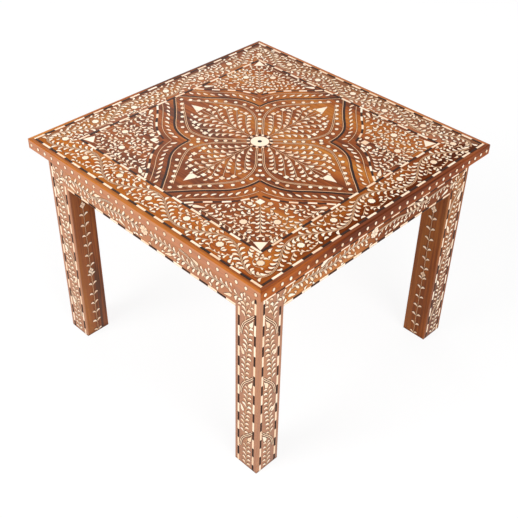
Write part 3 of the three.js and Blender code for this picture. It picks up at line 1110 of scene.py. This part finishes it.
class Cutter:
    """Cuts one sheet, layer by layer, and remembers where the wood is already taken."""

    def __init__(self, sheet, seed, taken=None, dash_width=3.9, dash_depth=0.35, passes=()):
        self.sheet = sheet
        self.seed = seed
        self.taken = taken or fresh_wood()
        self.dash_width = dash_width
        self.dash_depth = dash_depth
        self.passes = passes
        self.cut = {layer: [] for layer in LAYER_SLOTS}

    def chips(self, guide, rule, chips, **values):
        """Runs a rule once for the bone and once for the seams, with the same places."""
        upper = ("horn", HORN) if "wedge" in chips.values() else ("bone", BONE)
        for layer, (goal, material) in (("bone", upper), ("lac", ("seams", LAC))):
            pieces = {label: CHIPS[kind][layer] for label, kind in chips.items()}
            mesh = grown(guide(), rule, material=material, **pieces, **values)
            self.cut[goal].append(mesh)
        take(self.taken, mesh)

    def marks(self):
        groups = grouped(self.sheet.marks, lambda mark: mark[1])
        for number, (kind, marks) in enumerate(groups.items()):
            self.chips(lambda: point_object(marks), MARKS, {"piece": kind}, seed=self.seed + number)

    def strip(self, lines, material, width, height):
        sizes = {"width": width * UNIT, "height": 2 * height * UNIT}
        return grown(curve_object(lines), LINES, material=material, **sizes)

    def lines(self, kinds):
        for kind, rows in grouped(self.sheet.lines, lambda row: row[1]).items():
            lines = [row[0] for row in rows]
            if kind == "fence" and kind in kinds:
                take(self.taken, self.strip(lines, LAC, FENCE_WIDTH, SEAM_TOP))
            elif kind in kinds:
                goal, material, width, wider, height = STRIP_KINDS[kind]
                self.cut[goal].append(self.strip(lines, material, width, height))
                self.cut["seams"].append(self.strip(lines, LAC, width + wider, SEAM_TOP))
                take(self.taken, self.cut["seams"][-1])

    def dashes(self):
        for (length, first), rows in grouped(self.sheet.dashes, lambda row: row[1:]).items():
            piece = bar(length, self.dash_width, self.dash_depth)
            for goal, material, turn in (("horn", HORN, first), ("bone", BONE, 4 - first)):
                sizes = {"length": length * UNIT, "first": turn, "seed": self.seed}
                guide = curve_object([row[0] for row in rows])
                mesh = grown(guide, PIECES, piece=piece, material=material, **sizes)
                self.cut[goal].append(mesh)
                take(self.taken, mesh)

    def leaves(self):
        groups = grouped(self.sheet.stems, lambda row: (row[1], row[2], tuple(sorted(row[4].items()))))
        for number, ((kind, side, changes), rows) in enumerate(groups.items()):
            sizes = {**ROW_DEFAULTS, **LEAF_ROWS[kind], **dict(changes), "reach": LEAVES_SAWN[kind][0]}
            sizes = {name: size if name in NO_LENGTHS else size * UNIT for name, size in sizes.items()}
            self.chips(
                lambda: curve_object([row[0] for row in rows], [row[3] for row in rows]),
                LEAVES,
                {"left_chip": kind + "_left", "right_chip": kind + "_right"},
                left=side != "right",
                right=side != "left",
                taken=self.taken,
                seed=self.seed + 10 * number,
                **sizes,
            )

    def filling(self):
        for number, (kind, side, spacing, room) in enumerate(self.passes):
            self.chips(
                lambda: area_object(self.sheet.areas),
                FILLING,
                {"piece": kind + "_" + side},
                side=1.0 if side == "left" else -1.0,
                spacing=spacing * UNIT,
                reach=LEAVES_SAWN[kind][0] * UNIT,
                room=room * UNIT,
                taken=self.taken,
                seed=self.seed + 500 + number,
            )

    def all(self):
        self.marks()
        self.dashes()
        self.lines(("black", "string", "over", "fence"))
        self.leaves()
        self.lines(("fine", "thread", "vine"))
        if self.sheet.areas:
            self.filling()
        return self.cut


print("kinds of lines:", list(STRIP_KINDS))


# %% Laying the inlay on the table
def laid(name, parts):
    """One piece from many meshes, each with the matrix that lays it on its face."""
    made = []
    for mesh, matrix in parts:
        mesh.transform(matrix)
        made.append(linked(name, mesh))
    with bpy.context.temp_override(active_object=made[0], selected_editable_objects=made):
        bpy.ops.object.join()
    piece = made[0]
    piece.name = name
    piece.data.name = name
    piece.data.shade_flat()
    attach(piece, "root")
    return piece


def inlay(name, faces, seed, **how):
    """Cuts one sheet for every face it lies on, each with chips of its own."""
    layers = {layer: [] for layer in LAYER_SLOTS}
    for number, (sheet, matrix) in enumerate(faces):
        for layer, meshes in Cutter(sheet, seed + 1000 * number, **how).all().items():
            layers[layer] += [(mesh, matrix) for mesh in meshes if mesh.polygons]
    made = {
        layer: laid(name + "_" + layer, parts)
        for layer, parts in layers.items()
        if parts
    }
    print(name, "faces:", {layer: len(piece.data.polygons) for layer, piece in made.items()})
    return made.values()


print("slots of the layers:", LAYER_SLOTS)

# %% [markdown]
# The top is drawn from one eighth: from the middle of a side to the corner. Each petal is
# a pointed arch that starts at the centre, swells and runs out to the middle of its side.
# A row of dots follows it, with two pale lines inside. Outside it lie a pale and a black
# line, a row of long leaves, one more pale line, and a row of bone and horn pieces.

# %% The petals of the top
ARCH = [(60, 75), (83, 76.5), (99, 77.5), (117, 75.5), (135, 69), (151, 57)]
ARCH += [(165, 43.4), (178, 32), (190, 21.5), (203, 11.5), (217, 0), (235, -15)]
ARCH_LINES = ((11, "string"), (14.2, "black"), (37, "string"))
ARCH_SLIVERS = 27
ARCH_PIECES = 47.5
ARM_DOTS = [33, 44.5, 56.5, 69.5]
INNER_ARCH = [(19, 12.5), (41, 32), (60, 50), (75, 59.7), (89, 65.4), (110, 68.3)]
INNER_ARCH += [(125, 63.5), (144, 52), (165, 36.7), (184, 23.3), (206, 6)]
FAN_ROWS = [
    [(25, 3), (40, 9.5), (54, 19), (72, 34.5), (82, 45), (88, 52)],
    [(42, 2), (59, 6), (73, 14.5), (92, 31), (107, 45), (113, 50)],
    [(64, 2), (80, 6), (94, 13.5), (114, 27), (126, 36), (131, 39.5)],
    [(89, 2), (103, 5), (122, 13), (138, 21.5), (144.5, 25)],
    [(113, 2), (126, 3), (140, 7), (147, 10)],
]
DIAL_MARKS = 24
DIAL_RADIUS = 21.6


def in_eighth(point, reach=230):
    return 0 <= point.y <= point.x and point.x <= reach


def petal_eighth():
    sheet = Sheet()
    arch = smooth(ARCH)
    for distance, kind in ARCH_LINES:
        sheet.line(parallel(arch, distance, in_eighth), kind)
    sheet.stem(parallel(arch, ARCH_SLIVERS, in_eighth), "sliver", "left", away=-3.0)
    sheet.dash(parallel(arch, ARCH_PIECES, lambda p: in_eighth(p, 231)), 15.0)
    sheet.pair(smooth(INNER_ARCH), 1.4, "string", lambda p: p.y >= 1.2)
    for place in ARCH[1:-2]:
        sheet.mark(place, "dot")
    for row in FAN_ROWS:
        stem = smooth(row)
        end = stem[-1] + Vector((2.5, 1.0))
        sheet.stem(stem, "fan_leaf", "left", (0.88, 1.08))
        sheet.line(stem[:-2], "fine")
        sheet.mark(end, "lozenge")
        sheet.mark(end + Vector((6.6, -0.6)), "petal_tip", -14)
    return sheet


def petal_middle():
    """What lies on the axis of a petal, and on the diagonal between two petals."""
    sheet = Sheet()
    sheet.line([(26, 0), (156, 0)], "fine")
    sheet.mark((217, 0), "dot")
    for place in ARM_DOTS:
        sheet.mark((place, place), "dot")
    return sheet


def centre_ring():
    """Beads of bone and wedges of horn by turns, like a dial round the roundel."""
    sheet = Sheet()
    for number in range(DIAL_MARKS):
        angle = number * 360 // DIAL_MARKS
        way = Vector((math.cos(math.radians(angle)), math.sin(math.radians(angle))))
        sheet.mark(DIAL_RADIUS * way, "wedge" if number % 2 else "bead", angle)
    return sheet


print("petal: stems", len(petal_eighth().stems), "marks", len(petal_eighth().marks))

# %% [markdown]
# Between the petals and the square line lie four corners full of tendrils. A square and a
# fern mark the diagonal, a rosette on each side of it has a tendril wound round it, and
# rows of leaves follow the outer arch and the square line.

# %% The corners of the field
ROSETTE = (196, 157)
SIDE_ROW = [(222, 84), (222, 150), (221, 205)]
FERN = [(144, 144), (176, 176), (205, 205)]
LOOSE_SPRIGS = [
    ([(206, 96), (203, 110), (206, 124), (212, 134)], "leaf", "both", (0.9, 0.8)),
    ([(184, 112), (180, 121), (186, 131), (197, 134)], "leaf", "both", (0.9, 0.8)),
    ([(165, 121), (171, 127), (180, 134)], "small_leaf", "left", (1.0, 1.0)),
    ([(212, 176), (214, 190), (210, 200)], "small_leaf", "both", (1.0, 1.0)),
]
FILLED_TO = 229.5


def corner_eighth():
    sheet = Sheet()
    outer = parallel(smooth(ARCH), 57.5, lambda p: p.y <= p.x - 9 and p.x <= 222)
    sheet.stem(outer, "leaf", "left", (0.9, 1.0), away=-3.0, start=2.0)
    sheet.mark((152.5, 128.5), "small_flower")
    sheet.mark(ROSETTE, "rosette")
    around = spiral(ROSETTE, 20, 10, 200, 520)
    sheet.vine(around, "leaf", "right", (1.0, 0.85), spacing=9.2, room=1.9)
    sheet.stem(around, "small_leaf", "left", (0.75, 0.65), spacing=8.0, away=0.4, room=1.3)
    sheet.stem(smooth([(160, 140), (172, 139), (178, 149), (176.5, 152)]), "small_leaf")
    sheet.vine(smooth(SIDE_ROW), "leaf", "both", (0.9, 0.85), spacing=10.6, away=1.2)
    for sprig, *leaves in LOOSE_SPRIGS:
        sheet.stem(smooth(sprig), *leaves)
    sheet.mark((213.5, 86), "teardrop", -58, 0.95)
    return sheet


def corner_middle():
    sheet = Sheet()
    sheet.mark((136.5, 136.5), "square")
    sheet.vine(smooth(FERN), "leaf", "both", (0.85, 1.0), spacing=9.6)
    edge = parallel(smooth(ARCH), 50, in_eighth)
    if edge[-1].x <= FILLED_TO - 0.5:
        edge.append((FILLED_TO, edge[-1].y))
    half = Sheet()
    half.area([*edge, (FILLED_TO, FILLED_TO)])
    return sheet.add(half, half.copied(1, mirror=True))


print("corner: stems", len(corner_eighth().stems))

# %% [markdown]
# Round the square runs a border with a vine. The vine swings from one line to the other and
# passes a rosette at each swing, and a tendril leaves it to wind round that rosette.

# %% The border vine
PITCH = 87
MIDLINE = 261.25
SWING = 18.5
BORDER_LOW = 236.5
BORDER_HIGH = 286.0


def border_vine():
    """Along one side from corner to corner, and round the corner at its end."""
    runs = range(-3 * PITCH, 3 * PITCH + 1, 6)
    side = [Vector((run, MIDLINE - SWING * math.cos(math.pi * run / PITCH))) for run in runs]
    middle = Vector((MIDLINE, MIDLINE))
    turns = (math.radians(angle) for angle in (75, 60, 45, 30, 15))
    return side + [middle + SWING * Vector((math.cos(a), math.sin(a))) for a in turns]


def tendril(run, up):
    """The tendril that leaves the vine and winds round the rosette at a place on the border."""
    sheet = Sheet()
    center = (0, 4)
    winding = smooth([(-37, 3), (-30, 13), (-20, 20), *spiral(center, 19, 10, 100, -150, 16)], 3)
    leafy = winding[: int(len(winding) * 0.72)]
    sheet.line(winding, "fine")
    sheet.stem(leafy, "leaf", "left", (0.8, 0.9), spacing=9.0, away=0.6, start=5.0, room=1.9)
    fine_row = {"spacing": 7.6, "away": 0.4, "lean": 0.6, "start": 10.0, "room": 1.3}
    sheet.stem(leafy, "small_leaf", "right", (0.8, 0.72), **fine_row)
    sheet.vine(smooth([(21, 9), (31, 14), (41, 20)]), "small_leaf", spacing=8.0, start=2.0)
    sheet.mark(center, "rosette")
    return sheet.copied(mirror=not up, shift=(run, MIDLINE - 1.5))


def border_side():
    sheet = Sheet()
    vine = border_vine()
    sheet.pair(vine, 1.0, "fine")
    sheet.stem(vine, "leaf", "both", (1.02, 1.02), spacing=11.2, away=2.2, lean=0.92)
    for number in range(-2, 3):
        sheet.add(tendril(number * PITCH, up=number % 2 == 0))
    corner = (MIDLINE - 10, MIDLINE - 10)
    sheet.mark(corner, "rosette")
    around = spiral(corner, 17, 10, 160, 400, 18)
    sheet.vine(around, "small_leaf", "both", (1.0, 0.85), spacing=8.2, away=0.8, room=1.3)
    low, high = BORDER_LOW, BORDER_HIGH
    sheet.area([(-low, low), (low, low), (high, high), (-high, high)])
    return sheet


print("border: stems on a side", len(border_side().stems))

# %% [markdown]
# The two square lines are made of bone and horn pieces by turns. Each side runs on to the
# far edge of the next side's line, so the four sides close like a pinwheel.

# %% The square lines, and the whole top
LINE_PIECES = {"outer_line": (outer_line, 26), "inner_line": (inner_line, 20)}
# Loose leaves are laid in passes: their kind and bend, their spacing, and the room for each.
PASSES = [
    ("leaf", "left", 10.0, 3.1),
    ("leaf", "right", 9.0, 3.1),
    ("leaf", "left", 9.0, 2.9),
    ("small_leaf", "right", 8.0, 2.7),
    ("small_leaf", "left", 7.0, 2.7),
    ("small_leaf", "right", 7.0, 2.5),
]


def square_line(half, pieces):
    """The front side, which starts with horn on the left and ends with bone on the right."""
    sheet = Sheet()
    side = half / UNIT
    short = line_width / 2 / UNIT
    sheet.dash([(short - side, -side), (side + short, -side)], 2 * side / pieces)
    return sheet


def all_round(sheet, mirrored=False):
    """Quarter turns of a drawing, with the mirror image of each if it has one."""
    whole = Sheet()
    for quarter in range(4):
        whole.add(sheet.copied(quarter))
        if mirrored:
            whole.add(sheet.copied(quarter, mirror=True))
    return whole


flat_top = Matrix.Translation((0, 0, top_height))
top_wood = fresh_wood()
for name in PLATES:
    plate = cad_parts[name].data.copy()
    plate.transform(flat_top.inverted())
    take(top_wood, plate)
line_cut = {"dash_width": line_width / UNIT, "dash_depth": (outer_high.z - outer_low.z) / UNIT}
for name, (half, pieces) in LINE_PIECES.items():
    square = all_round(square_line(half, pieces))
    for piece in inlay(name, [(square, flat_top)], 400, taken=top_wood, **line_cut):
        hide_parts(*[name + "_" + side for side in SIDES])
petals = all_round(petal_eighth(), True).add(all_round(petal_middle()), centre_ring())
corners = all_round(corner_eighth(), True).add(all_round(corner_middle()))
border = all_round(border_side())
for name, sheet, seed in (("petals", petals, 100), ("corners", corners, 200), ("border", border, 300)):
    inlay(name, [(sheet, flat_top)], seed, taken=top_wood, passes=PASSES)

# %% [markdown]
# The sides are drawn on one sheet: the edge of the top, the two legs and the apron between
# them. The run goes along the side and the height goes up from the floor.


# %% The legs
PANEL_HALF = frame_half / UNIT
LEG = leg_width / UNIT
APRON_LOW = apron_floor / UNIT
APRON_HIGH = APRON_LOW + 41
LEG_MODULE = 137.5
LEG_BUDS = (88, 225.5, 363)
BUD_GAP = 4.2
LEG_PIECE = 22.8
LEG_JOINT = 16.6
# Stems as run and height. The first two and the crossing count from a bud.
LEG_STEM = [(-32.5, -12), (-31.8, 0), (-31, 12), (-30, 35), (-27.5, 56)]
LEG_STEM_END = [(-27.5, 56), (-25.5, 76), (-24.5, 100), (-23, 127)]
LEG_FOOT = [(-26, 4), (-25, 30), (-25, 58), (-25.5, 76)]
LEG_TOP = [(-32, 352), (-30.5, 364), (-29, 376), (-30, 386), (-35, 394), (-46, 397.5), (-60, 394)]
LEG_SPRIG = [(-30, 368), (-25.5, 380), (-21, 391), (-20, 404)]
LEG_CROSSING = [(-12, 12.5), (-20.5, 1.5), (-28, -7), (-35, -16.5), (-39.5, -29), (-41, -41)]
LEAF_PITCH = 11.9
# A line of pieces starts with horn for 1 and with bone for 3.
DARK, PALE = 1, 3


def shifted(points, rise):
    return [(run, height + rise) for run, height in points]


def row_of(stem, start):
    """Where a row of leaves starts, and its spacing, so that the last leaf is at the tip."""
    reach = length_of(stem) - start
    return {"start": start, "spacing": round(reach / (round(reach / LEAF_PITCH) + 0.05), 2)}


def column(sheet, run, top, first, second):
    """Pieces up a leg. The lowest one is short, as the maker trims it to the floor."""
    whole = int((top - LEG_JOINT) / LEG_PIECE)
    last_joint = LEG_JOINT + whole * LEG_PIECE
    for low, high, start in ((1, LEG_JOINT, first), (LEG_JOINT, last_joint, second)):
        odd = start == first or whole % 2
        sheet.dash([(run, low), (run, high)], min(high - low, LEG_PIECE), start, odd)
    last = second if whole % 2 == 0 else first
    sheet.dash([(run, last_joint), (run, top)], top - last_joint, last, odd=True)


def leg_face(first, second):
    """The leg at the end of a run. Its outer edge is at 0 and its inner edge at -LEG."""
    sheet = Sheet()
    outside, inside = -9.4, 7.8 - LEG
    column(sheet, outside, APRON_HIGH, first, second)
    column(sheet, inside, APRON_LOW + 5, second, first)
    stems = [(LEG_FOOT, 1.0, 0.85, 0.5), (LEG_TOP, 1.0, 1.0, 0.5), (LEG_SPRIG, 0.85, 0.8, 0.5)]
    for bud in LEG_BUDS[:-1]:
        stems.append((shifted(LEG_STEM_END, bud), 1.1, 0.88, LEAF_PITCH))
        stems.append((shifted(LEG_STEM, bud), 0.85, 1.08, 0.5))
    row = {"away": 1.6, "lean": 0.92, "play": 0.2}
    for stem, foot, tip, start in stems:
        line = smooth(stem)
        sheet.line(line, "thread")
        sheet.stem(line, "leaf", "both", (foot, tip), room=0.9, **row_of(line, start), **row)
    for stem, *sizes in stems:
        sheet.stem(smooth(stem), "leaf", "both", (0.7, 0.7), start=6.2, spacing=LEAF_PITCH, room=3.0, **row)
    for bud in LEG_BUDS:
        sheet.mark((outside - BUD_GAP, bud + 2), "bud", -115)
        sheet.pair(smooth(shifted(LEG_CROSSING, bud)), 1.45, "over")
        if bud > LEG_MODULE:
            sheet.mark((inside + BUD_GAP, bud - LEG_MODULE / 2), "bud", -66, 0.88)
    sheet.mark((-13, APRON_HIGH - 3), "bud", -112, 0.6)
    return sheet


print("drawing of a leg: stems", len(leg_face(DARK, PALE).stems))

# %% The aprons
APRON_DRAWN_LOW = 372
APRON_RISE = APRON_LOW - APRON_DRAWN_LOW
APRON_STEM = [(13, 399), (40, 400), (62, 400.5), (80, 397.5), (98, 394), (115, 393), (132, 394)]
APRON_STEM += [(148, 397.5), (165, 399), (182, 400), (198, 401), (212, 399)]
APRON_DROPS = [((53, 381), 21), ((119, 410.5), -18), ((196.5, 381.6), 22)]
APRON_CROSSING = [(90, 411), (104, 409.5), (115, 406), (126, 401.5), (138, 398.5), (150, 393)]
APRON_CROSSING += [(158, 386)]
APRON_PASSES = [("small_leaf", "left", 9.0, 2.6), ("small_leaf", "right", 8.0, 2.4)]


def apron_face(slivers, rounds, round_size):
    """The right half of an apron. Its stem runs from the leg towards the star in the middle and
    has long leaves on one side and round ones on the other."""
    sheet = Sheet()
    low, high = APRON_LOW + 6, APRON_HIGH - 4
    line = smooth(shifted(reversed(APRON_STEM), APRON_RISE))
    sheet.pair(line, 1.0, "vine")
    sheet.pair(smooth(shifted(APRON_CROSSING, APRON_RISE)), 1.2, "vine")
    row = {"spacing": 11.4, "away": 2.0, "play": 0.3, "lean": 0.9}
    sheet.stem(line, "sliver", slivers, start=2.0, room=1.6, **row)
    sheet.stem(line, "leaf", rounds, (round_size, round_size), start=5.0, room=1.5, **row)
    for place, turn in APRON_DROPS:
        sheet.mark(*shifted([place], APRON_RISE), "teardrop", turn, 0.86)
    sheet.area([(0, low), (PANEL_HALF - 30, low), (PANEL_HALF - 14, high), (0, high)])
    return sheet


print("drawing of an apron: lines", len(apron_face("left", "right", 1.0).lines))


# %% Whole sides, and the edge of the top
def mirrored_across(sheet):
    """The same drawing with left and right exchanged."""
    return sheet.copied(quarter=2, mirror=True)


def panel_sheet(number):
    """A whole side. The two sides that meet at a corner are mirror images of each other."""
    sheet = Sheet()
    even = number % 2 == 0
    colours = (DARK, PALE) if even else (PALE, DARK)
    ways = ("left", "right") if even else ("right", "left")
    round_size = 0.88 if even else 0.76
    leg = leg_face(*colours).copied(shift=(PANEL_HALF, 0))
    right_half = apron_face(*ways, round_size)
    left_half = mirrored_across(apron_face(*reversed(ways), round_size))
    sheet.add(leg, mirrored_across(leg), right_half, left_half)
    sheet.mark((0, APRON_LOW + 29), "star", size=0.98)
    lower = (PANEL_HALF - LEG, APRON_LOW + 3.2, 22, True)
    upper = (PANEL_HALF - 12, APRON_HIGH + (5 if number == 0 else -1.6), 22.2, False)
    for reach, height, piece, odd in (lower, upper):
        sheet.dash([(-reach, height), (reach, height)], piece, PALE, odd)
    for end in (-1, 1):
        sheet.line([(end * PANEL_HALF, 1.5), (end * (PANEL_HALF - LEG), 1.5)], "fence")
    return sheet


EDGE_END = 290
EDGE_ROWS = [(29, 0.0), (30, 0.055)]


def edge_dots(count, crowding):
    """A row of dots along the slab, which may stand a little closer towards the corners."""
    sheet = Sheet()
    height = (top_height + board_low.z) / 2 / UNIT
    for number in range(count):
        share = 2 * number / (count - 1) - 1
        run = EDGE_END * ((1 + crowding) * share - crowding * share ** 3)
        sheet.mark((run, height), "edge_dot")
    return sheet


def side_matrix(number, distance):
    """Lays a sheet on the side of that number, at a distance from the middle of the table."""
    upright = Matrix(((1, 0, 0, 0), (0, 0, -1, -distance), (0, 1, 0, 0), (0, 0, 0, 1)))
    return Matrix.Rotation(number * math.pi / 2, 4, "Z") @ upright


inlay("panel", [(panel_sheet(n), side_matrix(n, frame_half)) for n in range(4)], 500, passes=APRON_PASSES)
inlay("edge", [(edge_dots(*EDGE_ROWS[n % 2]), side_matrix(n, top_half)) for n in range(4)], 600)

# %% [markdown]
# The inner faces of the legs are plainer and darker: one straight stem with a pair of
# leaves every 25 mm, and a lozenge of four chips half-way up and near the top.


# %% Inner faces of the legs
INNER_PAIRS = 14
INNER_PITCH = 24.9
INNER_LOZENGES = (163.8, 325.3)


def inner_face():
    sheet = Sheet()
    middle = LEG / 2
    sheet.line([(middle, 3), (middle, APRON_LOW - 8)], "fine")
    stem = [(middle, height) for height in (1, 180, 1 + INNER_PAIRS * INNER_PITCH)]
    row = {"spacing": INNER_PITCH - 0.1, "start": 0.5, "lean": 1.0, "away": 1.2, "room": 0.6}
    sheet.stem(stem, "leaf", "both", (0.95, 0.95), **row)
    for height in INNER_LOZENGES:
        sheet.mark((middle, height), "four_lozenges", 90, 1.25)
    return sheet


def inner_matrices():
    inside = frame_half - leg_width
    facing_left = Matrix(((0, 0, -1, inside), (-1, 0, 0, -inside), (0, 1, 0, 0), (0, 0, 0, 1)))
    facing_back = Matrix(((-1, 0, 0, frame_half), (0, 0, 1, -inside), (0, 1, 0, 0), (0, 0, 0, 1)))
    turns = [Matrix.Rotation(number * math.pi / 2, 4, "Z") for number in range(4)]
    return [turn @ facing for turn in turns for facing in (facing_left, facing_back)]


inlay("inner_face", [(inner_face(), matrix) for matrix in inner_matrices()], 700)

# %% [markdown]
# A pale floor and four large soft lamps, as in a plain studio. The world is white for
# the camera, so that the background is white without more light on the table.

# %% Floor and light
FLOOR_SIZE = 12.0
FLOOR_WHITENESS = 0.86
WORLD_LIGHT = 0.42
WHITE = (1, 1, 1, 1)
# Place, size and power of each lamp.
LAMPS = {
    "key": ((-0.7, -3.0, 2.3), 2.2, 88),
    "fill": ((3.0, -0.8, 1.5), 2.4, 66),
    "overhead": ((-0.3, 1.1, 3.2), 2.6, 18),
    "window": ((-2.3, 1.3, 1.9), 1.5, 14),
}


def seen_directly(graph):
    """1 for what the camera sees, or sees in a mirror or through glass, and 0 for other light."""
    ways = ("Is Camera Ray", "Is Glossy Ray", "Is Transmission Ray")
    camera, glossy, through = graph.wires(ways, "ShaderNodeLightPath")
    return graph.math("MAXIMUM", graph.math("MAXIMUM", camera, glossy), through)


def add_floor():
    work = bmesh.new()
    bmesh.ops.create_grid(work, x_segments=1, y_segments=1, size=FLOOR_SIZE / 2)
    floor = linked("floor", mesh_of(work, "floor"))
    material, graph = new_material("floor")
    color = graph.mixed(graph.speckle(3.0), rgb(246, 246, 246), rgb(252, 252, 252))
    real = graph.wire("ShaderNodeBsdfDiffuse", {}, {"Color": color, "Roughness": 0.9})
    white = graph.wire("ShaderNodeEmission", {}, {"Color": WHITE, "Strength": 1.0})
    share = seen_directly(graph) * FLOOR_WHITENESS
    shader = graph.wire("ShaderNodeMixShader", {}, {0: share, 1: real, 2: white})
    graph.node("ShaderNodeOutputMaterial", {}, {"Surface": shader})
    dress(floor.data, material)


def add_lamp(name, place, size, power):
    data = bpy.data.lights.new(name, "AREA")
    data.shape = "DISK"
    data.size = size
    data.energy = power
    lamp = linked(name, data)
    lamp.location = place
    aim = Vector(place) - Vector((0, 0, top_height / 2))
    lamp.rotation_euler = aim.to_track_quat("Z", "Y").to_euler()


def add_world():
    world = bpy.data.worlds.new("studio")
    world.use_nodes = True
    world.node_tree.nodes.clear()
    graph = Graph(world.node_tree)
    level = seen_directly(graph) * (1 - WORLD_LIGHT) + WORLD_LIGHT
    back = graph.wire("ShaderNodeBackground", {}, {"Color": WHITE, "Strength": level})
    graph.node("ShaderNodeOutputWorld", {}, {"Surface": back})
    bpy.context.scene.world = world


add_floor()
for name, settings in LAMPS.items():
    add_lamp(name, *settings)
add_world()
bpy.context.scene.view_settings.view_transform = "Standard"
print("lamps:", list(LAMPS))

# %% [markdown]
